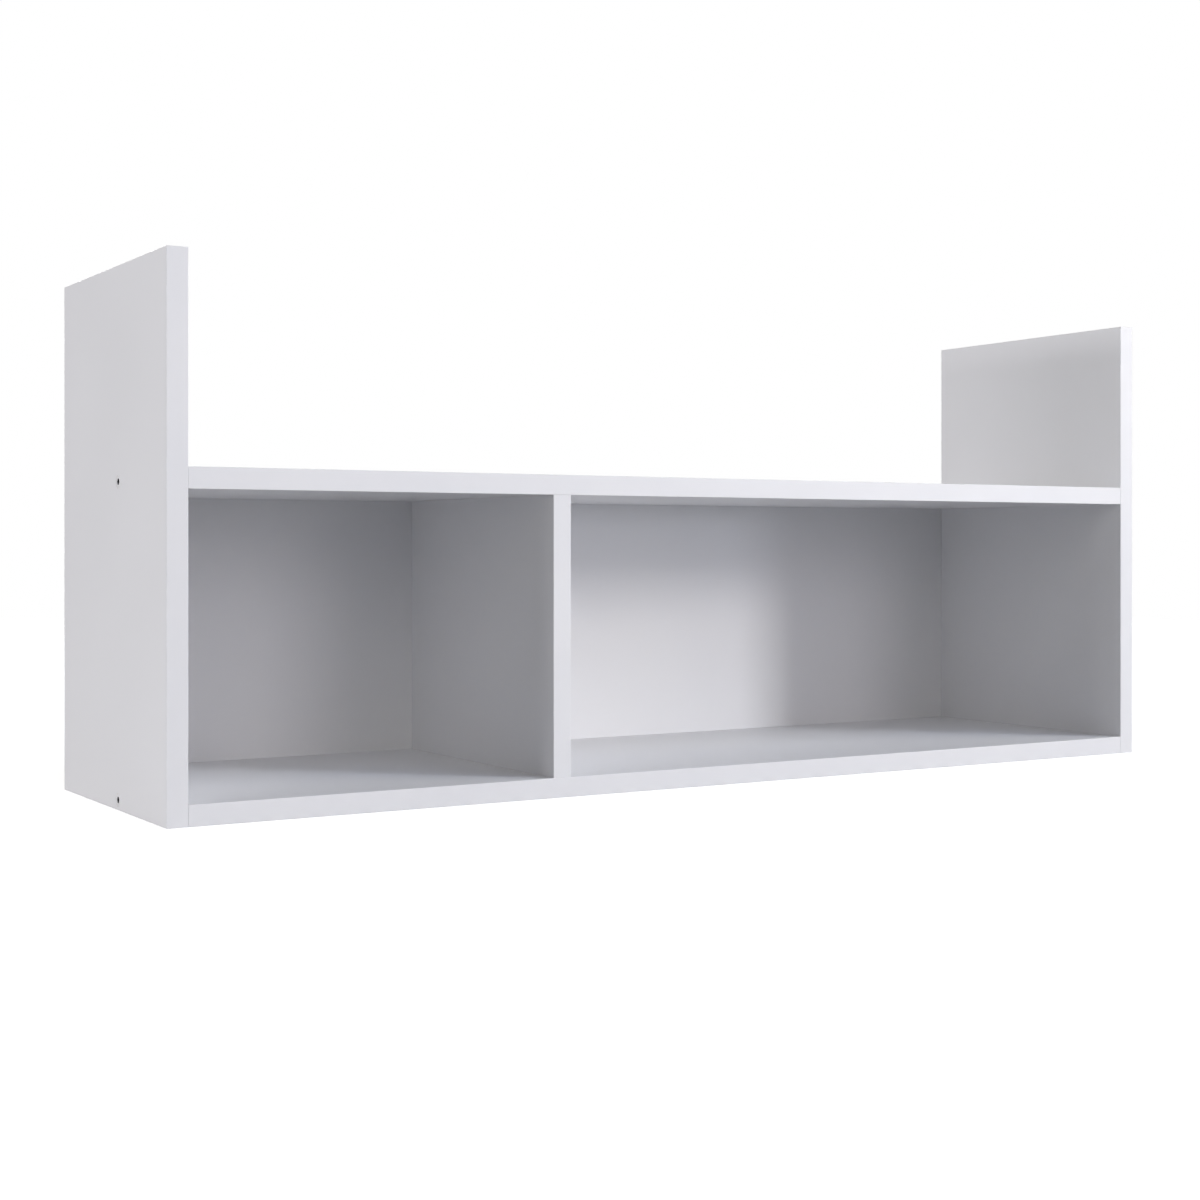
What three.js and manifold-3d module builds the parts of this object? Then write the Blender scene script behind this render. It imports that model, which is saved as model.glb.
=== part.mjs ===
// A desk hutch of white laminated board: two side panels that rise above an upper shelf, a lower
// shelf, an upright divider and a thin back panel nailed on from behind. Each end of a shelf and of
// the divider is pulled tight by one connector screw and held square by two fluted dowels.
// Millimetres. +X is to the right of someone facing the hutch, +Y is towards its back, +Z is up.
// The origin is the middle of the footprint, on the surface that the hutch stands on.

import * as THREE from "three";
import { mergeVertices } from "three/addons/utils/BufferGeometryUtils.js";
import Module from "manifold-3d";

const wasm = await Module();
wasm.setup();

// ---- Driving dimensions ----

const WIDTH = 966; // over the side panels
const HEIGHT = 413; // of the side panels
const DEPTH = 260; // from the front edges to the rear of the back panel
const SHELF_TOP = 257; // upper face of the upper shelf
const LEFT_BAY = 300; // clear width of the left compartment

const BOARD = 16; // thickness of every board
const BAND = 0.5; // thickness of the edge banding
const BAND_ROUND = 0.25; // rounding of the banding's long outer corners
const BACK = 3; // thickness of the back panel
const BACK_INSET = 2; // how far the back panel stays inside the carcass outline

const GAP = 0.3; // room round a fitting in its hole
const END_ROOM = 1; // room past the end of a screw or a dowel in its hole
const OVERSHOOT = 1; // how far a cutting solid runs out of the face that it opens

// Connector screw, measured along its axis from the face of its countersunk head.
const SCREW_SETBACK = 112; // from the front edges to the screw axis
const SCREW_SIDES = 12;
const HEAD_RADIUS = 5;
const HEAD_RIM = 0.5;
const HEAD_DEPTH = 3.25;
const SHANK_RADIUS = 3.5;
const SHANK_END = 11;
const CORE_RADIUS = 2.5;
const THREAD_PITCH = 3;
const THREAD_TURNS = 12; // modelled as ridges
const SCREW_LENGTH = 50;
const TIP_RADIUS = 1.25;
const SOCKET_WIDTH = 4; // across the flats of the hexagonal socket
const SOCKET_DEPTH = 2.75;

// Fluted wooden dowel.
const DOWEL_SETBACKS = [48, 208]; // from the front edges to the dowel axes
const DOWEL_RADIUS = 4;
const DOWEL_LENGTH = 30;
const DOWEL_IN_FACE = 10; // the length that sits in the face of the crossing board
const DOWEL_FLUTES = 10;
const FLUTE_DEPTH = 0.3;
const DOWEL_CHAMFER = 1;
const DOWEL_HOLE_SIDES = 16;

// Nail that holds the back panel, flush with its rear face.
const NAIL_SIDES = 8;
const NAIL_HEAD_RADIUS = 1.75;
const NAIL_HEAD_DEPTH = 0.75;
const NAIL_RADIUS = 0.625;
const NAIL_LENGTH = 20;
const NAIL_TIP = 2;
const NAIL_ROW_COUNT = 8; // along each shelf
const NAIL_ROW_INSET = 21; // from the outer faces to the first and last nail of a row
const NAIL_COLUMN_HEIGHTS = [86, 171]; // on the side panels and the divider

// ---- Places worked out from them ----

const LEFT = -WIDTH / 2;
const RIGHT = WIDTH / 2;
const FRONT = -DEPTH / 2;
const REAR = DEPTH / 2;
const CARCASS_REAR = REAR - BACK;
const INNER_LEFT = LEFT + BOARD;
const INNER_RIGHT = RIGHT - BOARD;
const DIVIDER_LEFT = INNER_LEFT + LEFT_BAY;
const DIVIDER_RIGHT = DIVIDER_LEFT + BOARD;
const DIVIDER_MIDDLE = DIVIDER_LEFT + BOARD / 2;
const BAY_BOTTOM = BOARD;
const BAY_TOP = SHELF_TOP - BOARD;
const SCREW_Y = FRONT + SCREW_SETBACK;

const EAST = new THREE.Vector3(1, 0, 0);
const WEST = new THREE.Vector3(-1, 0, 0);
const FORWARD = new THREE.Vector3(0, -1, 0);
const UP = new THREE.Vector3(0, 0, 1);
const DOWN = new THREE.Vector3(0, 0, -1);

// ---- Materials ----

const paint = (color, roughness, metalness = 0) =>
  new THREE.MeshStandardMaterial({ color, roughness, metalness });

const laminate = paint(0xe9e9ec, 0.45);
const banding = paint(0xeeeef0, 0.4);
const hardboard = paint(0xe4e4e6, 0.5);
const lacqueredSteel = paint(0xe6e6e8, 0.35);
const zincSteel = paint(0xb4b6b8, 0.35, 0.9);
const beech = paint(0xc9a677, 0.7);

// ---- Solids ----

const MERGE_DISTANCE = 1e-4;

function toSolid(geometry) {
  const bare = geometry.clone();
  bare.deleteAttribute("normal");
  bare.deleteAttribute("uv");
  const merged = mergeVertices(bare, MERGE_DISTANCE);
  return new wasm.Manifold(
    new wasm.Mesh({
      numProp: 3,
      vertProperties: new Float32Array(merged.attributes.position.array),
      triVerts: new Uint32Array(merged.index.array),
    }),
  );
}

function toGeometry(solid) {
  const mesh = solid.getMesh();
  const positions = new Float32Array(mesh.vertProperties);
  const geometry = new THREE.BufferGeometry();
  geometry.setAttribute("position", new THREE.BufferAttribute(positions, 3));
  geometry.setIndex(new THREE.BufferAttribute(new Uint32Array(mesh.triVerts), 1));
  geometry.computeVertexNormals();
  return geometry;
}

// A turned shape from [distance along the axis, radius] pairs. The axis starts at the geometry's
// origin and runs along +Z.
function turned(profile, sides) {
  const points = profile.map(([along, radius]) => new THREE.Vector2(radius, along));
  return new THREE.LatheGeometry(points, sides).rotateX(Math.PI / 2);
}

// Turns a geometry that runs along +Z to a direction and moves it to a point.
function aimed(geometry, point, direction) {
  const turn = new THREE.Quaternion().setFromUnitVectors(UP, direction);
  return geometry.clone().applyQuaternion(turn).translate(point.x, point.y, point.z);
}

const assembly = new THREE.Group();
const holes = []; // one cutting solid for each fitting

function place(name, geometry, material, position = new THREE.Vector3()) {
  const mesh = new THREE.Mesh(geometry, material);
  mesh.name = name;
  mesh.position.copy(position);
  assembly.add(mesh);
}

// ---- Fittings ----

function screwProfile() {
  const profile = [
    [0, 0],
    [0, HEAD_RADIUS],
    [HEAD_RIM, HEAD_RADIUS],
    [HEAD_DEPTH, SHANK_RADIUS],
    [SHANK_END, SHANK_RADIUS],
  ];
  for (let turn = 1; turn <= THREAD_TURNS; turn++) {
    const crest = SHANK_END + turn * THREAD_PITCH;
    profile.push([crest - THREAD_PITCH / 2, CORE_RADIUS], [crest, SHANK_RADIUS]);
  }
  profile.push([SCREW_LENGTH, TIP_RADIUS], [SCREW_LENGTH, 0]);
  return profile;
}

function makeScrewGeometry() {
  const socketRadius = SOCKET_WIDTH / 2 / Math.cos(Math.PI / 6);
  const socket = new THREE.CylinderGeometry(socketRadius, socketRadius, 2 * SOCKET_DEPTH, 6);
  const body = toSolid(turned(screwProfile(), SCREW_SIDES));
  return toGeometry(body.subtract(toSolid(socket.rotateX(Math.PI / 2))));
}

const screwGeometry = makeScrewGeometry();
const screwHole = turned(
  [
    [-OVERSHOOT, 0],
    [-OVERSHOOT, HEAD_RADIUS + GAP],
    [HEAD_RIM, HEAD_RADIUS + GAP],
    [HEAD_DEPTH, SHANK_RADIUS + GAP],
    [SCREW_LENGTH + END_ROOM, SHANK_RADIUS + GAP],
    [SCREW_LENGTH + END_ROOM, 0],
  ],
  SCREW_SIDES,
);

// A connector screw whose head is flush with a face at `point`, driven along `direction`.
function addScrew(name, point, direction) {
  place(name, aimed(screwGeometry, point, direction), lacqueredSteel);
  holes.push(toSolid(aimed(screwHole, point, direction)));
}

const DOWEL_START = -DOWEL_IN_FACE; // measured from the joint face
const DOWEL_END = DOWEL_LENGTH - DOWEL_IN_FACE;

// A chamfered peg, with every second corner drawn in to make the flutes.
function makeDowelGeometry() {
  const peg = turned(
    [
      [DOWEL_START, 0],
      [DOWEL_START, DOWEL_RADIUS - DOWEL_CHAMFER],
      [DOWEL_START + DOWEL_CHAMFER, DOWEL_RADIUS],
      [DOWEL_END - DOWEL_CHAMFER, DOWEL_RADIUS],
      [DOWEL_END, DOWEL_RADIUS - DOWEL_CHAMFER],
      [DOWEL_END, 0],
    ],
    2 * DOWEL_FLUTES,
  );
  const positions = peg.getAttribute("position");
  const drawnIn = 1 - FLUTE_DEPTH / DOWEL_RADIUS;
  for (let i = 0; i < positions.count; i++) {
    const angle = Math.atan2(positions.getY(i), positions.getX(i));
    const cornerNumber = Math.round((angle / Math.PI) * DOWEL_FLUTES);
    if (cornerNumber % 2 === 0) continue;
    positions.setXY(i, positions.getX(i) * drawnIn, positions.getY(i) * drawnIn);
  }
  return peg;
}

const dowelGeometry = makeDowelGeometry();
const dowelHole = turned(
  [
    [DOWEL_START - END_ROOM, 0],
    [DOWEL_START - END_ROOM, DOWEL_RADIUS + GAP],
    [DOWEL_END + END_ROOM, DOWEL_RADIUS + GAP],
    [DOWEL_END + END_ROOM, 0],
  ],
  DOWEL_HOLE_SIDES,
);

// A dowel that crosses the joint face at `point`, with its long end along `direction`.
function addDowel(name, point, direction) {
  place(name, aimed(dowelGeometry, point, direction), beech);
  holes.push(toSolid(aimed(dowelHole, point, direction)));
}

const nailGeometry = turned(
  [
    [0, 0],
    [0, NAIL_HEAD_RADIUS],
    [NAIL_HEAD_DEPTH, NAIL_HEAD_RADIUS],
    [NAIL_HEAD_DEPTH, NAIL_RADIUS],
    [NAIL_LENGTH - NAIL_TIP, NAIL_RADIUS],
    [NAIL_LENGTH, 0],
  ],
  NAIL_SIDES,
);
const nailHole = turned(
  [
    [-OVERSHOOT, 0],
    [-OVERSHOOT, NAIL_HEAD_RADIUS + GAP],
    [NAIL_HEAD_DEPTH + GAP, NAIL_HEAD_RADIUS + GAP],
    [NAIL_HEAD_DEPTH + GAP, NAIL_RADIUS + GAP],
    [NAIL_LENGTH + GAP, NAIL_RADIUS + GAP],
    [NAIL_LENGTH + GAP, 0],
  ],
  NAIL_SIDES,
);

function addNail(name, x, z) {
  const point = new THREE.Vector3(x, REAR, z);
  place(name, aimed(nailGeometry, point, FORWARD), zincSteel);
  holes.push(toSolid(aimed(nailHole, point, FORWARD)));
}

// One joint: a board's end meets the inner face of a crossing board at (x, z), and `direction` runs
// along that board. The screw starts on the crossing board's outer face.
function addJoint(name, x, z, direction) {
  const head = new THREE.Vector3(x, SCREW_Y, z).addScaledVector(direction, -BOARD);
  addScrew("screw_" + name, head, direction);
  DOWEL_SETBACKS.forEach((setback, i) => {
    const row = ["front", "rear"][i];
    addDowel("dowel_" + name + "_" + row, new THREE.Vector3(x, FRONT + setback, z), direction);
  });
}

// ---- Boards and banding ----

// A box from its lowest to its highest corner, with the fittings' holes cut out of it.
function addBoard(name, low, high, material) {
  const size = new THREE.Vector3().subVectors(high, low);
  const centre = new THREE.Vector3().addVectors(low, high).multiplyScalar(0.5);
  let solid = toSolid(new THREE.BoxGeometry(size.x, size.y, size.z));
  for (const hole of holes) {
    solid = solid.subtract(hole.translate([-centre.x, -centre.y, -centre.z]));
  }
  place(name, toGeometry(solid), material, centre);
}

// A strip of edge banding on a board's edge, as long as the edge and as wide as the board is thick.
// Its glued side is centred on `point`, it runs along `along` and it faces `outward`.
function addBand(name, point, along, outward, length) {
  const half = BOARD / 2;
  const section = new THREE.Shape();
  section.moveTo(-half, 0);
  section.lineTo(half, 0);
  section.lineTo(half, BAND - BAND_ROUND);
  section.lineTo(half - BAND_ROUND, BAND);
  section.lineTo(-half + BAND_ROUND, BAND);
  section.lineTo(-half, BAND - BAND_ROUND);
  section.closePath();
  const strip = new THREE.ExtrudeGeometry(section, { depth: length, bevelEnabled: false });
  strip.translate(0, 0, -length / 2);
  const across = new THREE.Vector3().crossVectors(outward, along);
  const turn = new THREE.Matrix4().makeBasis(across, outward, along);
  let solid = toSolid(strip.applyMatrix4(turn));
  for (const hole of holes) {
    solid = solid.subtract(hole.translate([-point.x, -point.y, -point.z]));
  }
  place(name, toGeometry(solid), banding, point);
}

// ---- Assembly ----

const corner = (x, y, z) => new THREE.Vector3(x, y, z);

for (const [level, z] of [["bottom", BAY_BOTTOM / 2], ["top", SHELF_TOP - BOARD / 2]]) {
  addJoint("left_" + level, INNER_LEFT, z, EAST);
  addJoint("right_" + level, INNER_RIGHT, z, WEST);
}
addJoint("divider_bottom", DIVIDER_MIDDLE, BAY_BOTTOM, UP);
addJoint("divider_top", DIVIDER_MIDDLE, BAY_TOP, DOWN);

for (let i = 0; i < NAIL_ROW_COUNT; i++) {
  const first = LEFT + NAIL_ROW_INSET;
  const x = first + (i * (WIDTH - 2 * NAIL_ROW_INSET)) / (NAIL_ROW_COUNT - 1);
  addNail("nail_bottom_" + (i + 1), x, BOARD / 2);
  addNail("nail_top_" + (i + 1), x, SHELF_TOP - BOARD / 2);
}
NAIL_COLUMN_HEIGHTS.forEach((z, i) => {
  addNail("nail_left_" + (i + 1), LEFT + BOARD / 2, z);
  addNail("nail_right_" + (i + 1), RIGHT - BOARD / 2, z);
  addNail("nail_divider_" + (i + 1), DIVIDER_MIDDLE, z);
});

// A side panel is banded on all four edges. The long upright strips cover the ends of the short ones.
for (const [side, x] of [["left", LEFT], ["right", INNER_RIGHT]]) {
  addBoard(
    side + "_side_panel",
    corner(x, FRONT + BAND, BAND),
    corner(x + BOARD, CARCASS_REAR - BAND, HEIGHT - BAND),
    laminate,
  );
  const middleX = x + BOARD / 2;
  const middleY = (FRONT + CARCASS_REAR) / 2;
  const shortLength = CARCASS_REAR - FRONT - 2 * BAND;
  const name = side + "_side_band_";
  addBand(name + "front", corner(middleX, FRONT + BAND, HEIGHT / 2), UP, FORWARD, HEIGHT);
  addBand(
    name + "rear",
    corner(middleX, CARCASS_REAR - BAND, HEIGHT / 2),
    UP,
    FORWARD.clone().negate(),
    HEIGHT,
  );
  addBand(name + "top", corner(middleX, middleY, HEIGHT - BAND), FORWARD, UP, shortLength);
  addBand(name + "bottom", corner(middleX, middleY, BAND), FORWARD, DOWN, shortLength);
}

// The shelves and the divider are banded along the front, and their rear edges are left raw.
for (const [name, z] of [["bottom_shelf", 0], ["top_shelf", BAY_TOP]]) {
  addBoard(
    name,
    corner(INNER_LEFT, FRONT + BAND, z),
    corner(INNER_RIGHT, CARCASS_REAR, z + BOARD),
    laminate,
  );
  addBand(
    name + "_band_front",
    corner(0, FRONT + BAND, z + BOARD / 2),
    EAST,
    FORWARD,
    INNER_RIGHT - INNER_LEFT,
  );
}

addBoard(
  "divider",
  corner(DIVIDER_LEFT, FRONT + BAND, BAY_BOTTOM),
  corner(DIVIDER_RIGHT, CARCASS_REAR, BAY_TOP),
  laminate,
);
addBand(
  "divider_band_front",
  corner(DIVIDER_MIDDLE, FRONT + BAND, (BAY_BOTTOM + BAY_TOP) / 2),
  UP,
  FORWARD,
  BAY_TOP - BAY_BOTTOM,
);

addBoard(
  "back_panel",
  corner(LEFT + BACK_INSET, CARCASS_REAR, BACK_INSET),
  corner(RIGHT - BACK_INSET, REAR, SHELF_TOP - BACK_INSET),
  hardboard,
);

export default assembly;
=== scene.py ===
import math

import bmesh
import bpy
from mathutils import Matrix, Vector


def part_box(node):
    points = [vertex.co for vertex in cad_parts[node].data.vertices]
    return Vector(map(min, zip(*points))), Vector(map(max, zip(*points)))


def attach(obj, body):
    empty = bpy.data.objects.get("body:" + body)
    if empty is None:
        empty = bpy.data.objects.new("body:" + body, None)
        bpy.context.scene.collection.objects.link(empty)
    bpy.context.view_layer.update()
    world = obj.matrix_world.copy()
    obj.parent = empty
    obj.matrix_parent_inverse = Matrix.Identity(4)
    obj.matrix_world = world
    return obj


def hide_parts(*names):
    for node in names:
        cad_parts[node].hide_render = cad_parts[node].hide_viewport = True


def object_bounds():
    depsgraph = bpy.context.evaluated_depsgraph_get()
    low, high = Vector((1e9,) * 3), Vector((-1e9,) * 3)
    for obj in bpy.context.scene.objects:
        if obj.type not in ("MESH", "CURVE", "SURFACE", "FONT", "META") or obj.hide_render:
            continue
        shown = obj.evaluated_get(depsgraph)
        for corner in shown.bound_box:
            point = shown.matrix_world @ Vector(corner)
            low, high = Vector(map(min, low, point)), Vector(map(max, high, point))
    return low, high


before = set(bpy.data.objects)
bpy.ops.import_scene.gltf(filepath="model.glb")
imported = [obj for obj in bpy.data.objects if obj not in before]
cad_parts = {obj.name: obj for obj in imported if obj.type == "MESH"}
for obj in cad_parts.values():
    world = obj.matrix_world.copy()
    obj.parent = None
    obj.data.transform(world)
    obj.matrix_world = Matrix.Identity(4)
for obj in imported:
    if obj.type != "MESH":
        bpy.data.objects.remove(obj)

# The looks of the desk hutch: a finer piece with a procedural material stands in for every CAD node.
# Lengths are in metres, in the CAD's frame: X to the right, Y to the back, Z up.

cad_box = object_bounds()

MM = 0.001
X_AXIS = Vector((1, 0, 0))
Y_AXIS = Vector((0, 1, 0))
Z_AXIS = Vector((0, 0, 1))

# ---- Sizes that are finer than the CAD model's ----

BOARD_EDGE = 0.12 * MM  # softening of a board's cut edges
BOARD_EDGE_STEPS = 2
BAND_ROUND = 0.4 * MM  # rounding of the banding's long outer corners
BAND_ARC_STEPS = 5
BAND_FLAT_START = 0.1 * MM  # how far in from the rounding the flat face's own shading starts
BAND_END = 0.15 * MM  # softening of a band's cut ends
FIT = 0.05 * MM  # room round a fitting in its hole

HEAD_RADIUS = 5 * MM
HEAD_RIM = 0.5 * MM  # straight part of the head's side, before the countersink
HEAD_SOFTENING = 0.1 * MM
HEAD_ARC = 0.3 * HEAD_SOFTENING  # how far inside the corner the middle of the softening lies
HEAD_DEPTH = 3.25 * MM
SHANK_RADIUS = 3.5 * MM
SHANK_END = 11 * MM  # where the plain shank gives way to the thread
CORE_RADIUS = 2.5 * MM  # the threaded part between its ridges
THREAD_PITCH = 3 * MM
THREAD_RIDGE = 0.55  # share of the pitch that a ridge takes at its root
THREAD_RUN = 4 * MM  # length over which the thread fades in and out
THREAD_STEP = 0.25 * MM  # from one ring of the thread's mesh to the next
SCREW_LENGTH = 50 * MM
TIP_RADIUS = 1.25 * MM
SOCKET_WIDTH = 4 * MM  # across the flats
SOCKET_DEPTH = 2.75 * MM
SOCKET_CHAMFER = 0.35 * MM
SCREW_SIDES = 48

DOWEL_RADIUS = 4 * MM
DOWEL_FLUTES = 20
DOWEL_SIDES = 6 * DOWEL_FLUTES
FLUTE_DEPTH = 0.25 * MM
DOWEL_CHAMFER = 1 * MM
CHAMFER_BULGE = DOWEL_CHAMFER / 3  # inset halfway along the chamfer, which makes it slightly round

NAIL_HEAD_RADIUS = 1.75 * MM
NAIL_HEAD_DEPTH = 0.75 * MM
NAIL_HEAD_SOFTENING = 0.15 * MM
NAIL_HEAD_SLOPE = 0.2 * MM  # cone under the head
NAIL_RADIUS = 0.625 * MM
NAIL_TIP = 2 * MM
NAIL_POINT_RADIUS = 0.05 * MM
NAIL_SIDES = 24

HOLE_SIDES = 48
OVERSHOOT = 1 * MM  # how far a cutter runs out of the face that it opens

# Shading is smooth over edges that turn by less than these angles, in degrees.
BAND_SMOOTH = 25
METAL_SMOOTH = 35
DOWEL_SMOOTH = 40

# ---- Materials ----


class Recipe:
    """A procedural material being put together: short calls that add and join its nodes."""

    def __init__(self, name, roughness):
        self.material = bpy.data.materials.new(name)
        self.material.use_nodes = True
        self.nodes = self.material.node_tree.nodes
        self.links = self.material.node_tree.links
        self.shader = self.nodes["Principled BSDF"]
        self.shader.inputs["Roughness"].default_value = roughness
        self.place = self.nodes.new("ShaderNodeTexCoord").outputs["Object"]

    def join(self, value, socket):
        """Feeds a socket from another node's output, or sets it to a plain value."""
        if isinstance(value, bpy.types.NodeSocket):
            self.links.new(value, socket)
        else:
            socket.default_value = value

    def stretched(self, scale):
        """The place on the piece, with each axis scaled on its own."""
        mapping = self.nodes.new("ShaderNodeMapping")
        mapping.inputs["Scale"].default_value = scale
        self.links.new(self.place, mapping.inputs["Vector"])
        return mapping.outputs["Vector"]

    def noise(self, scale, detail=2.0, place=None):
        """Soft noise from 0 to 1 with `scale` lumps to the metre."""
        node = self.nodes.new("ShaderNodeTexNoise")
        node.inputs["Scale"].default_value = scale
        node.inputs["Detail"].default_value = detail
        self.links.new(place or self.place, node.inputs["Vector"])
        return node.outputs["Fac"]

    def cells(self, scale, output="Color", place=None):
        """Voronoi cells, `scale` to the metre: each cell's own tone, or the distance from its middle."""
        node = self.nodes.new("ShaderNodeTexVoronoi")
        node.inputs["Scale"].default_value = scale
        self.links.new(place or self.place, node.inputs["Vector"])
        return node.outputs[output]

    def spread(self, value, low, high, start=0.3, end=0.7):
        """Maps `value` from start..end to low..high, and no further."""
        node = self.nodes.new("ShaderNodeMapRange")
        node.inputs["From Min"].default_value = start
        node.inputs["From Max"].default_value = end
        node.inputs["To Min"].default_value = low
        node.inputs["To Max"].default_value = high
        self.links.new(value, node.inputs["Value"])
        return node.outputs["Result"]

    def blend(self, share, first, second):
        """Mixes two colours by the second one's share, from 0 to 1."""
        node = self.nodes.new("ShaderNodeMix")
        node.data_type = "RGBA"
        self.join(share, node.inputs[0])
        self.join(first, node.inputs[6])  # sockets 6 and 7, and output 2, are the ones for colours
        self.join(second, node.inputs[7])
        return node.outputs[2]

    def bump(self, height, depth):
        """Raises the surface by up to `depth` metres, on top of any earlier bump."""
        node = self.nodes.new("ShaderNodeBump")
        node.inputs["Distance"].default_value = depth
        self.links.new(height, node.inputs["Height"])
        earlier = self.shader.inputs["Normal"].links
        if earlier:
            self.links.new(earlier[0].from_socket, node.inputs["Normal"])
        self.links.new(node.outputs["Normal"], self.shader.inputs["Normal"])

    def finish(self, color, roughness=None):
        """Sets the colour, and the roughness where it varies, and hands the material over."""
        self.join(color, self.shader.inputs["Base Color"])
        if roughness is not None:
            self.join(roughness, self.shader.inputs["Roughness"])
        return self.material


def shade(red, green, blue):
    """An opaque colour."""
    return (red, green, blue, 1.0)


def grey(level):
    return shade(level, level, level)


def make_laminate():
    """White melamine: a faint pearl texture, with slow drifts in tone and in gloss."""
    recipe = Recipe("white_laminate", 0.5)
    tone = recipe.spread(recipe.noise(4.0), 0.0, 1.0)
    color = recipe.blend(tone, shade(0.785, 0.787, 0.80), shade(0.795, 0.797, 0.81))
    pearl = recipe.noise(1400.0, 3.0)
    orange_peel = recipe.noise(220.0, 1.0)
    recipe.bump(orange_peel, 0.01 * MM)
    recipe.bump(pearl, 0.015 * MM)
    handled = recipe.spread(recipe.noise(9.0, 4.0), 0.47, 0.53)
    return recipe.finish(color, handled)


def make_banding():
    """White ABS edge banding: smoother than the laminate, with faint lengthwise trimming marks."""
    recipe = Recipe("white_edge_band", 0.38)
    tone = recipe.spread(recipe.noise(12.0), 0.0, 1.0)
    color = recipe.blend(tone, shade(0.785, 0.79, 0.81), shade(0.81, 0.812, 0.825))
    recipe.bump(recipe.noise(900.0, 2.0), 0.012 * MM)
    gloss = recipe.spread(recipe.noise(60.0, 3.0), 0.34, 0.42)
    return recipe.finish(color, gloss)


def make_chipboard():
    """Raw chipboard: flat pressed chips of mixed browns with dark gaps between them."""
    recipe = Recipe("raw_chipboard", 0.9)
    place = recipe.stretched((0.35, 0.35, 1.0))
    chips = recipe.cells(900.0, "Color", place)
    chip_tone = recipe.spread(chips, 0.0, 1.0, 0.0, 1.0)
    color = recipe.blend(chip_tone, shade(0.36, 0.24, 0.13), shade(0.66, 0.50, 0.32))
    gaps = recipe.spread(recipe.cells(900.0, "Distance", place), 0.0, 0.6, 0.55, 0.9)
    color = recipe.blend(gaps, color, shade(0.16, 0.10, 0.05))
    recipe.bump(recipe.noise(1500.0, 4.0), 0.25 * MM)
    return recipe.finish(color)


def make_hardboard_face():
    """The back panel's inner face: white lacquer that lets the fibres' fine unevenness through."""
    recipe = Recipe("white_hardboard_face", 0.42)
    tone = recipe.spread(recipe.noise(5.0), 0.0, 1.0)
    color = recipe.blend(tone, shade(0.765, 0.77, 0.79), shade(0.785, 0.788, 0.80))
    recipe.bump(recipe.noise(350.0, 5.0), 0.03 * MM)
    gloss = recipe.spread(recipe.noise(15.0, 3.0), 0.38, 0.46)
    return recipe.finish(color, gloss)


def make_hardboard_rear():
    """The back panel's raw rear face and edges: brown pressed fibre, flecked and slightly polished."""
    recipe = Recipe("raw_hardboard", 0.6)
    cloud = recipe.spread(recipe.noise(14.0, 5.0), 0.0, 1.0)
    color = recipe.blend(cloud, shade(0.21, 0.115, 0.055), shade(0.27, 0.155, 0.08))
    fibres = recipe.noise(160.0, 8.0, recipe.stretched((1.0, 1.0, 3.5)))
    color = recipe.blend(recipe.spread(fibres, 0.0, 0.55, 0.45, 0.7), color, shade(0.36, 0.23, 0.13))
    flecks = recipe.cells(260.0, "Distance")
    color = recipe.blend(recipe.spread(flecks, 0.5, 0.0, 0.03, 0.16), color, shade(0.10, 0.05, 0.025))
    recipe.bump(fibres, 0.06 * MM)
    gloss = recipe.spread(recipe.noise(40.0, 4.0), 0.48, 0.68)
    return recipe.finish(color, gloss)


def make_lacquer():
    """White lacquer on a screw's head."""
    recipe = Recipe("white_screw_lacquer", 0.35)
    tone = recipe.noise(300.0, 2.0)
    color = recipe.blend(tone, shade(0.78, 0.785, 0.80), shade(0.81, 0.812, 0.82))
    recipe.bump(recipe.noise(1800.0, 2.0), 0.02 * MM)
    gloss = recipe.spread(recipe.noise(500.0, 2.0), 0.28, 0.4)
    return recipe.finish(color, gloss)


def make_steel(name, dark, light, roughness):
    """Plated steel with fine drawing marks and patches of duller plating."""
    recipe = Recipe(name, roughness)
    recipe.shader.inputs["Metallic"].default_value = 1.0
    patches = recipe.spread(recipe.noise(250.0, 4.0), 0.0, 1.0)
    color = recipe.blend(patches, dark, light)
    recipe.bump(recipe.noise(3000.0, 2.0), 0.01 * MM)
    gloss = recipe.spread(recipe.noise(700.0, 3.0), roughness - 0.08, roughness + 0.12)
    return recipe.finish(color, gloss)


def make_beech():
    """Raw beech: straight pale grain with short dark flecks."""
    recipe = Recipe("raw_beech", 0.75)
    grain = recipe.noise(700.0, 4.0, recipe.stretched((0.15, 1.0, 1.0)))
    color = recipe.blend(recipe.spread(grain, 0.0, 1.0), shade(0.48, 0.31, 0.17), shade(0.68, 0.50, 0.31))
    flecks = recipe.cells(1600.0, "Distance", recipe.stretched((0.2, 1.0, 1.0)))
    color = recipe.blend(recipe.spread(flecks, 0.6, 0.0, 0.05, 0.2), color, shade(0.30, 0.17, 0.08))
    recipe.bump(grain, 0.05 * MM)
    return recipe.finish(color)


laminate = make_laminate()
banding = make_banding()
chipboard = make_chipboard()
hardboard_face = make_hardboard_face()
hardboard_rear = make_hardboard_rear()
lacquer = make_lacquer()
zinc = make_steel("zinc_plated_steel", shade(0.50, 0.51, 0.52), shade(0.70, 0.71, 0.72), 0.32)
# Steel for the inside of a screw's socket, coloured near black as painted shade of the deep hole.
socket_shade_steel = make_steel("socket_steel_painted_shade", shade(0.05, 0.05, 0.055), shade(0.12, 0.12, 0.13), 0.5)
beech = make_beech()

# ---- Mesh helpers ----


def circle(radius, height, sides):
    """A ring of points round the Z axis."""
    turns = [2 * math.pi * i / sides for i in range(sides)]
    return [Vector((radius * math.cos(a), radius * math.sin(a), height)) for a in turns]


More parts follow.
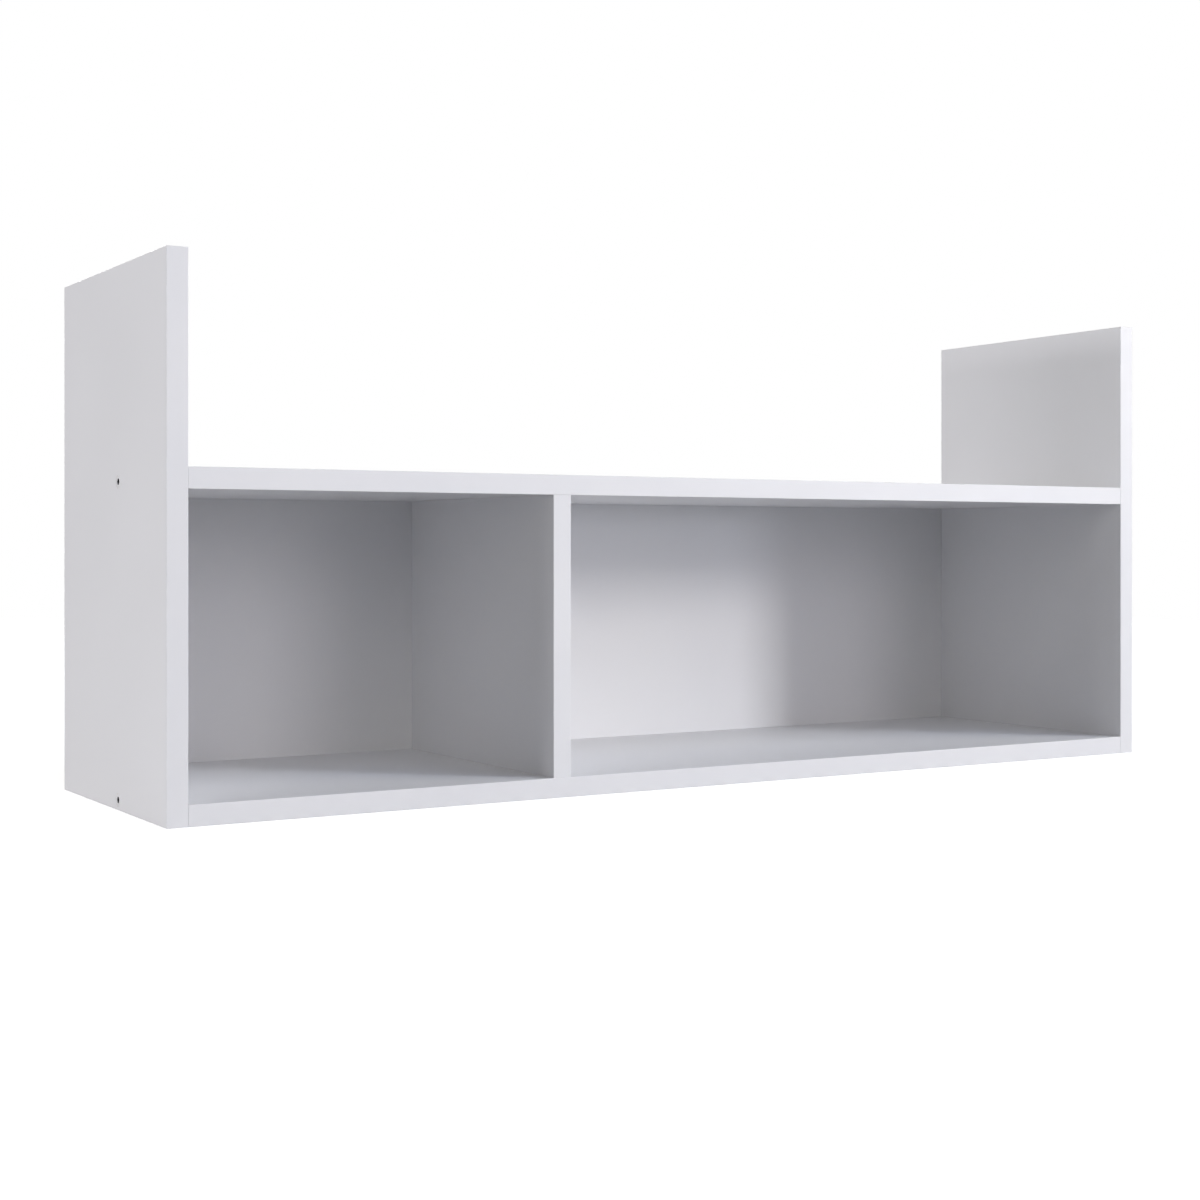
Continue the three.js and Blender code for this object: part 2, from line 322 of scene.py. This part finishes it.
def hexagon(width, height, sides):
    """A ring of points on a hexagon, `width` across the flats.

    sides is a multiple of 6, so that each of the hexagon's corners has a point.
    """
    points = []
    for point in circle(1, 0, sides):
        angle = math.atan2(point.y, point.x) % (math.pi / 3)
        reach = width / 2 / math.cos(angle - math.pi / 6)
        points.append(Vector((reach * point.x, reach * point.y, height)))
    return points


def lofted(rings, ring_materials=None):
    """A closed skin from ring to ring, filled in at both ends.

    ring_materials has a material number for each stretch between two rings.
    """
    shape = bmesh.new()
    loops = [[shape.verts.new(point) for point in ring] for ring in rings]
    for row, (first, second) in enumerate(zip(loops, loops[1:])):
        for i in range(len(first)):
            face = shape.faces.new((first[i - 1], first[i], second[i], second[i - 1]))
            if ring_materials:
                face.material_index = ring_materials[row]
    ends = [shape.faces.new(reversed(loops[0])), shape.faces.new(loops[-1])]
    if ring_materials:
        ends[0].material_index = ring_materials[0]
        ends[1].material_index = ring_materials[-1]
    bmesh.ops.recalc_face_normals(shape, faces=shape.faces)
    return shape


def turned(profile, sides):
    """A lofted shape from [distance along the axis, radius] pairs."""
    return lofted([circle(radius, height, sides) for height, radius in profile])


def to_mesh(shape, name):
    """The finished mesh of a shape, which is used up."""
    mesh = bpy.data.meshes.new(name)
    shape.to_mesh(mesh)
    shape.free()
    return mesh


def smooth_below(mesh, degrees):
    """Smooth shading, except over edges sharper than the angle."""
    mesh.shade_smooth()
    mesh.set_sharp_from_angle(angle=math.radians(degrees))


def add_object(name, mesh, materials):
    """An object in the scene. The materials are added to those that its mesh has."""
    piece = bpy.data.objects.new(name, mesh)
    bpy.context.scene.collection.objects.link(piece)
    for material in materials:
        mesh.materials.append(material)
    return piece


def stand_for(piece, node):
    """The piece takes the CAD node's place: the node is hidden, and the piece is attached to the root body.
    """
    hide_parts(node)
    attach(piece, "root")


def aim(start, direction):
    """The matrix that takes a shape made along +Z from the origin to a start point and direction."""
    return Matrix.Translation(start) @ direction.to_track_quat("Z", "Y").to_matrix().to_4x4()


# ---- Fittings ----


def named_nodes(prefix):
    """The CAD nodes whose names begin with a prefix, in the order of their names."""
    return sorted(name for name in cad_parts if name.startswith(prefix))


def long_axis(node):
    """The axis that a slim node lies along."""
    low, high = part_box(node)
    size = high - low
    return max((X_AXIS, Y_AXIS, Z_AXIS), key=lambda axis: size.dot(axis))


def axis_ends(node):
    """The two ends of a slim node's middle line, the lower one first."""
    low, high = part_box(node)
    middle = (low + high) / 2
    axis = long_axis(node)
    half = axis * (high - low).dot(axis) / 2
    return middle - half, middle + half


def screw_start(node):
    """Where the face of a screw's head lies, and the way that the screw points from it.

    The head is on the outer face of a side panel, or of the shelf that the divider meets.
    """
    low_end, high_end = axis_ends(node)
    middle = (cad_box[0] + cad_box[1]) / 2
    joint = node.split("_")[1]
    heads_low = joint == "left" or (joint == "divider" and high_end.z < middle.z)
    start, end = (low_end, high_end) if heads_low else (high_end, low_end)
    return start, (end - start).normalized()


def thread_radius(height, angle):
    """The screw's radius on its threaded part, with the ridge wound round it as a helix."""
    turn = (height / THREAD_PITCH - angle / (2 * math.pi)) % 1.0
    ridge = max(0.0, 1.0 - abs(turn - 0.5) * 2 / THREAD_RIDGE)
    fade_in = (height - SHANK_END) / THREAD_RUN
    fade_out = (SCREW_LENGTH - THREAD_RUN / 2 - height) / THREAD_RUN
    strength = max(0.0, min(1.0, fade_in, fade_out))
    return CORE_RADIUS + (SHANK_RADIUS - CORE_RADIUS) * ridge * strength


def thread_ring(height):
    """A ring of points on the thread."""
    ring = []
    for point in circle(1, 0, SCREW_SIDES):
        radius = thread_radius(height, math.atan2(point.y, point.x))
        ring.append(Vector((radius * point.x, radius * point.y, height)))
    return ring


def make_screw_mesh():
    """A connector screw along +Z: hexagonal socket, flush countersunk head, shank and wound thread."""
    socket = [
        hexagon(SOCKET_WIDTH / 2, SOCKET_DEPTH, SCREW_SIDES),
        hexagon(SOCKET_WIDTH, SOCKET_DEPTH, SCREW_SIDES),
        hexagon(SOCKET_WIDTH, SOCKET_CHAMFER, SCREW_SIDES),
        hexagon(SOCKET_WIDTH + 2 * SOCKET_CHAMFER, 0, SCREW_SIDES),
    ]
    head = [
        circle(HEAD_RADIUS - HEAD_SOFTENING, 0, SCREW_SIDES),
        circle(HEAD_RADIUS - HEAD_ARC, HEAD_ARC, SCREW_SIDES),
        circle(HEAD_RADIUS, HEAD_SOFTENING, SCREW_SIDES),
        circle(HEAD_RADIUS, HEAD_RIM, SCREW_SIDES),
    ]
    shank = [
        circle(SHANK_RADIUS, HEAD_DEPTH, SCREW_SIDES),
        circle(SHANK_RADIUS, SHANK_END - THREAD_STEP, SCREW_SIDES),
    ]
    tip_start = SCREW_LENGTH - THREAD_RUN / 2
    thread_rings = round((tip_start - SHANK_END) / THREAD_STEP)
    thread = [thread_ring(SHANK_END + THREAD_STEP * i) for i in range(thread_rings + 1)]
    tip = [circle(TIP_RADIUS, SCREW_LENGTH, SCREW_SIDES)]
    rings = socket + head + shank + thread + tip
    # Material numbers: the socket's walls take the near-black steel (painted shade of the hole), the head
    # the white lacquer, the rest the plating.
    dark, white, plated = 0, 1, 2
    numbers = [dark] * (len(socket) - 1) + [white] * len(head)
    numbers += [plated] * (len(rings) - 1 - len(numbers))
    mesh = to_mesh(lofted(rings, numbers), "screw")
    smooth_below(mesh, METAL_SMOOTH)
    for material in (socket_shade_steel, lacquer, zinc):
        mesh.materials.append(material)
    return mesh


def make_screw_hole():
    """The cutter for a screw's countersunk hole, which leaves the screw a little room."""
    radius = SHANK_RADIUS + FIT
    profile = [
        (-OVERSHOOT, HEAD_RADIUS + FIT),
        (HEAD_RIM, HEAD_RADIUS + FIT),
        (HEAD_DEPTH, radius),
        (SCREW_LENGTH + OVERSHOOT, radius),
    ]
    return turned(profile, HOLE_SIDES)


def make_dowel_mesh(length):
    """A fluted dowel along +Z with chamfered ends."""

    def ring(height, inset):
        points = []
        for i, point in enumerate(circle(1, 0, DOWEL_SIDES)):
            flute = (1 - math.cos(DOWEL_FLUTES * 2 * math.pi * i / DOWEL_SIDES)) / 2
            radius = DOWEL_RADIUS - inset - FLUTE_DEPTH * flute
            points.append(Vector((radius * point.x, radius * point.y, height)))
        return points

    rings = [
        ring(0, DOWEL_CHAMFER),
        ring(DOWEL_CHAMFER / 2, CHAMFER_BULGE),
        ring(DOWEL_CHAMFER, 0),
        ring(length - DOWEL_CHAMFER, 0),
        ring(length - DOWEL_CHAMFER / 2, CHAMFER_BULGE),
        ring(length, DOWEL_CHAMFER),
    ]
    mesh = to_mesh(lofted(rings), "dowel")
    smooth_below(mesh, DOWEL_SMOOTH)
    mesh.materials.append(beech)
    return mesh


def make_dowel_hole(length):
    """The cutter for a dowel's hole."""
    return turned([(-OVERSHOOT, DOWEL_RADIUS + FIT), (length + OVERSHOOT, DOWEL_RADIUS + FIT)], HOLE_SIDES)


def make_nail_mesh(length):
    """A flat-headed panel nail along +Z."""
    profile = [
        (0, NAIL_HEAD_RADIUS - NAIL_HEAD_SOFTENING),
        (NAIL_HEAD_SOFTENING, NAIL_HEAD_RADIUS),
        (NAIL_HEAD_DEPTH - NAIL_HEAD_SLOPE, NAIL_HEAD_RADIUS),
        (NAIL_HEAD_DEPTH, NAIL_RADIUS),
        (length - NAIL_TIP, NAIL_RADIUS),
        (length, NAIL_POINT_RADIUS),
    ]
    mesh = to_mesh(turned(profile, NAIL_SIDES), "nail")
    smooth_below(mesh, METAL_SMOOTH)
    mesh.materials.append(zinc)
    return mesh


def make_nail_hole(length):
    """The cutter for a nail's hole, with a seat for its head."""
    profile = [
        (-OVERSHOOT, NAIL_HEAD_RADIUS + FIT),
        (NAIL_HEAD_DEPTH + FIT, NAIL_HEAD_RADIUS + FIT),
        (NAIL_HEAD_DEPTH + 2 * FIT, NAIL_RADIUS + FIT),
        (length + FIT, NAIL_RADIUS + FIT),
    ]
    return turned(profile, NAIL_SIDES)


def collect(cutters, shape, matrix):
    """Adds a cutter, moved by the matrix, to the shape that gathers them all."""
    shape.transform(matrix)
    mesh = to_mesh(shape, "cutter")
    cutters.from_mesh(mesh)
    bpy.data.meshes.remove(mesh)


def add_fitting(node, mesh, matrix):
    """A screw, dowel or nail in its place. Fittings of one kind share their mesh."""
    piece = add_object(node + "_finished", mesh, [])
    piece.matrix_world = matrix
    stand_for(piece, node)


def add_screws(cutters):
    """The connector screws, with a cutter for each one's hole."""
    mesh = make_screw_mesh()
    for node in named_nodes("screw_"):
        matrix = aim(*screw_start(node))
        add_fitting(node, mesh, matrix)
        collect(cutters, make_screw_hole(), matrix)


def add_dowels(cutters):
    """The dowels, with a cutter for each one's hole."""
    mesh = None
    for node in named_nodes("dowel_"):
        start, end = axis_ends(node)
        length = (end - start).length
        mesh = mesh or make_dowel_mesh(length)
        matrix = aim(start, (end - start).normalized())
        add_fitting(node, mesh, matrix)
        collect(cutters, make_dowel_hole(length), matrix)


def add_nails(cutters):
    """The nails, driven in from behind, with a cutter for each one's hole."""
    mesh = None
    for node in named_nodes("nail_"):
        end, start = axis_ends(node)
        length = (end - start).length
        mesh = mesh or make_nail_mesh(length)
        matrix = aim(start, -Y_AXIS)
        add_fitting(node, mesh, matrix)
        collect(cutters, make_nail_hole(length), matrix)


def add_fittings():
    """Makes every screw, dowel and nail, and returns one object that holds the shapes of all their holes."""
    cutters = bmesh.new()
    add_screws(cutters)
    add_dowels(cutters)
    add_nails(cutters)
    raw = 1  # the number of the raw material in every board, panel and band
    for face in cutters.faces:
        face.material_index = raw
    return add_object("fitting_holes", to_mesh(cutters, "fitting_holes"), [laminate, chipboard])


# ---- Boards and banding ----


def drill(piece, holes):
    """Cuts the fittings' holes out of a piece."""
    cut = piece.modifiers.new("holes", "BOOLEAN")
    cut.operation = "DIFFERENCE"
    cut.solver = "EXACT"
    cut.object = holes
    bpy.context.view_layer.update()
    evaluated = piece.evaluated_get(bpy.context.evaluated_depsgraph_get())
    mesh = bpy.data.meshes.new_from_object(evaluated)
    piece.modifiers.clear()
    piece.data = mesh


def add_board(node, face_materials, edge_material, holes):
    """A board whose two large faces and whose cut edges have their own materials.

    face_materials has the material of the large face towards the low end of the board's thin axis, and then
    that of the other one.
    """
    low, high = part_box(node)
    size = high - low
    thin = min(range(3), key=lambda axis: size[axis])
    shape = bmesh.new()
    bmesh.ops.create_cube(shape, size=1)
    for vertex in shape.verts:
        vertex.co = low + Vector((vertex.co[axis] + 0.5) * size[axis] for axis in range(3))
    for face in shape.faces:
        face.material_index = 1 + round(face.normal[thin])  # 1 on the cut edges, 0 and 2 on the large faces
    bmesh.ops.bevel(
        shape,
        geom=shape.edges[:],
        offset=BOARD_EDGE,
        segments=BOARD_EDGE_STEPS,
        profile=0.5,  # a round bevel
        affect="EDGES",
        material=-1,  # the bevel takes the materials of the faces beside it
    )
    materials = [face_materials[0], edge_material, face_materials[1]]
    piece = add_object(node + "_finished", to_mesh(shape, node), materials)
    drill(piece, holes)
    stand_for(piece, node)


def outward_sign(node):
    """Which way along its thin axis a band faces: away from the board that it is glued to."""
    return 1 if node.endswith(("_rear", "_top")) else -1


def band_profile(width, thickness, inset):
    """A band's outline across its length, as [across, outward] pairs round its middle.

    The glued side has sharp corners and the outer side has round ones. The inset draws in every side but the
    glued one.
    """
    half = width / 2 - inset
    front = thickness / 2 - inset
    side = [(half, -thickness / 2)]
    for step in range(BAND_ARC_STEPS + 1):
        angle = math.pi / 2 * step / BAND_ARC_STEPS
        across = half - BAND_ROUND * (1 - math.cos(angle))
        side.append((across, front - BAND_ROUND * (1 - math.sin(angle))))
    side.append((half - BAND_ROUND - BAND_FLAT_START, front))
    return side + [(-across, outward) for across, outward in reversed(side)]


def add_band(node, holes):
    """A strip of edge banding: flat on its glued side, round at its long outer corners."""
    low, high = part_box(node)
    size = high - low
    thin, wide, long = sorted(range(3), key=lambda axis: size[axis])

    def ring(along, inset):
        points = []
        for across, outward in band_profile(size[wide], size[thin], inset):
            point = (low + high) / 2
            point[wide] += across
            point[thin] += outward * outward_sign(node)
            point[long] = along
            points.append(point)
        return points

    rings = [
        ring(low[long], BAND_END),
        ring(low[long] + BAND_END, 0),
        ring(high[long] - BAND_END, 0),
        ring(high[long], BAND_END),
    ]
    piece = add_object(node + "_finished", to_mesh(lofted(rings), node), [banding, chipboard])
    drill(piece, holes)
    smooth_below(piece.data, BAND_SMOOTH)
    stand_for(piece, node)


holes = add_fittings()
for board in ("left_side_panel", "right_side_panel", "top_shelf", "bottom_shelf", "divider"):
    add_board(board, (laminate, laminate), chipboard, holes)
add_board("back_panel", (hardboard_face, hardboard_rear), hardboard_rear, holes)
for band in [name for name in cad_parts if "_band_" in name]:
    add_band(band, holes)
bpy.data.objects.remove(holes)

# ---- Floor, light and camera ----

FLOOR_RADIUS = 4.0
FLOOR_FADE_START = 1.6
FLOOR_SIDES = 96
FLOOR_GLOW = 0.6
AIM_POINT = Vector((0, -0.1, 0.2))
LIGHT_DISTANCE = 10.0
KEY_BEARING = 42.2
KEY_WIDTH = 1.5
SOFTBOX_WIDTH = 3.3  # of every softbox but the key's
CAMERA_PLACE = (-0.92191, -1.43448, 0.19906)
CAMERA_BEARING = 31.46  # degrees by which the view turns to the right of straight back
SENSOR_WIDTH = 36  # the sensor and the lens are in mm
LENS = 56.94
LENS_SHIFT = -0.04363  # in picture widths: below zero the view slides down


def make_floor_paint():
    """Pale paint that glows a little, and that fades out towards the floor's rim."""
    recipe = Recipe("pale_floor", 0.8)
    recipe.shader.inputs["Specular IOR Level"].default_value = 0.2
    recipe.shader.inputs["Emission Color"].default_value = grey(1.0)
    recipe.shader.inputs["Emission Strength"].default_value = FLOOR_GLOW
    distance = recipe.nodes.new("ShaderNodeVectorMath")
    distance.operation = "LENGTH"
    recipe.links.new(recipe.place, distance.inputs[0])
    cover = recipe.spread(distance.outputs["Value"], 1.0, 0.0, FLOOR_FADE_START, FLOOR_RADIUS)
    recipe.links.new(cover, recipe.shader.inputs["Alpha"])
    return recipe.finish(recipe.blend(recipe.noise(2.0), grey(0.90), grey(0.91)))


def make_bounce_card():
    """Grey card that sends back part of the light that falls on the floor."""
    recipe = Recipe("bounce_card", 0.9)
    return recipe.finish(recipe.blend(recipe.noise(2.0), grey(0.40), grey(0.42)))


def add_disc(name, height, material):
    """A round, flat part of the stage, centred under the object."""
    shape = bmesh.new()
    bmesh.ops.create_circle(shape, cap_ends=True, segments=FLOOR_SIDES, radius=FLOOR_RADIUS)
    disc = add_object(name, to_mesh(shape, name), [material])
    disc.location.z = height
    return disc


def add_floor():
    """A floor in two discs: one that only the camera sees, and a darker one that it doesn't see.

    The darker disc sends light up on the object, as a real floor does.
    """
    seen = add_disc("floor", 0.0, make_floor_paint())
    seen.visible_diffuse = False
    seen.visible_glossy = False
    seen.visible_shadow = False
    card = add_disc("bounce_card", -1 * MM, make_bounce_card())
    card.visible_camera = False


def add_softbox(name, bearing, height_angle, width, height, watts, target=AIM_POINT):
    """A softbox aimed at a target, seen from which it stands in the direction that the two angles give.

    bearing is in degrees from straight in front, positive towards the right, and height_angle is in degrees
    above level. watts is the softbox's power in red, green and blue.
    """
    turn = math.radians(bearing)
    rise = math.radians(height_angle)
    direction = Vector((math.sin(turn) * math.cos(rise), -math.cos(turn) * math.cos(rise), math.sin(rise)))
    lamp = bpy.data.lights.new(name, "AREA")
    lamp.shape = "RECTANGLE"
    lamp.size = width
    lamp.size_y = height
    lamp.energy = max(watts)
    lamp.color = [part / max(watts) for part in watts]
    holder = bpy.data.objects.new(name, lamp)
    bpy.context.scene.collection.objects.link(holder)
    holder.location = target + LIGHT_DISTANCE * direction
    holder.rotation_euler = direction.to_track_quat("Z", "Y").to_euler()


def add_lights():
    """A narrow, tall key light from the front right, and wide softboxes all round.

    The key light is aimed at the object's right front corner, and throws the bright patch on the back panel.
    """
    corner = Vector((cad_box[1].x, cad_box[0].y, AIM_POINT.z))
    add_softbox("key_low", KEY_BEARING, 2, KEY_WIDTH, 0.7, (80, 82, 92), corner)
    add_softbox("key_middle", KEY_BEARING, 14.5, KEY_WIDTH, 1.7, (310, 298, 290), corner)
    add_softbox("key_high", KEY_BEARING, 31, KEY_WIDTH, 4.0, (138, 158, 185), corner)
    add_softbox("left_low", -95, 1.5, SOFTBOX_WIDTH, 0.5, (290, 286, 298))
    add_softbox("left_high", -100, 20, SOFTBOX_WIDTH, 3.1, (355, 350, 353))
    add_softbox("front_left", -22, 29, SOFTBOX_WIDTH, 8.0, (198, 192, 188))
    add_softbox("front_right", 20, 10, SOFTBOX_WIDTH, 3.6, (110, 104, 112))
    add_softbox("front_high", 30, 52, SOFTBOX_WIDTH, 3.3, (60, 74, 108))
    add_softbox("rear", 178, 28, SOFTBOX_WIDTH, 3.1, (330, 330, 330))
    add_softbox("right_wide", 60, 25, SOFTBOX_WIDTH, 4.5, (325, 312, 290))


def add_world():
    """White surroundings that are seen, but give no light: the softboxes and the bounce card do that."""
    world = bpy.data.worlds.new("studio")
    bpy.context.scene.world = world
    world.cycles_visibility.diffuse = False
    world.cycles_visibility.glossy = False
    world.use_nodes = True
    background = world.node_tree.nodes["Background"]
    background.inputs["Color"].default_value = grey(1.0)
    background.inputs["Strength"].default_value = 1.0


def add_camera():
    """A level camera in front and to the left, a little below the upper shelf."""
    data = bpy.data.cameras.new("camera")
    data.sensor_width = SENSOR_WIDTH
    data.lens = LENS
    data.shift_y = LENS_SHIFT
    camera = bpy.data.objects.new("camera", data)
    bpy.context.scene.collection.objects.link(camera)
    camera.location = CAMERA_PLACE
    camera.rotation_euler = (math.radians(90), 0, math.radians(-CAMERA_BEARING))
    bpy.context.scene.camera = camera


add_floor()
add_lights()
add_world()
add_camera()
bpy.context.scene.view_settings.view_transform = "Standard"
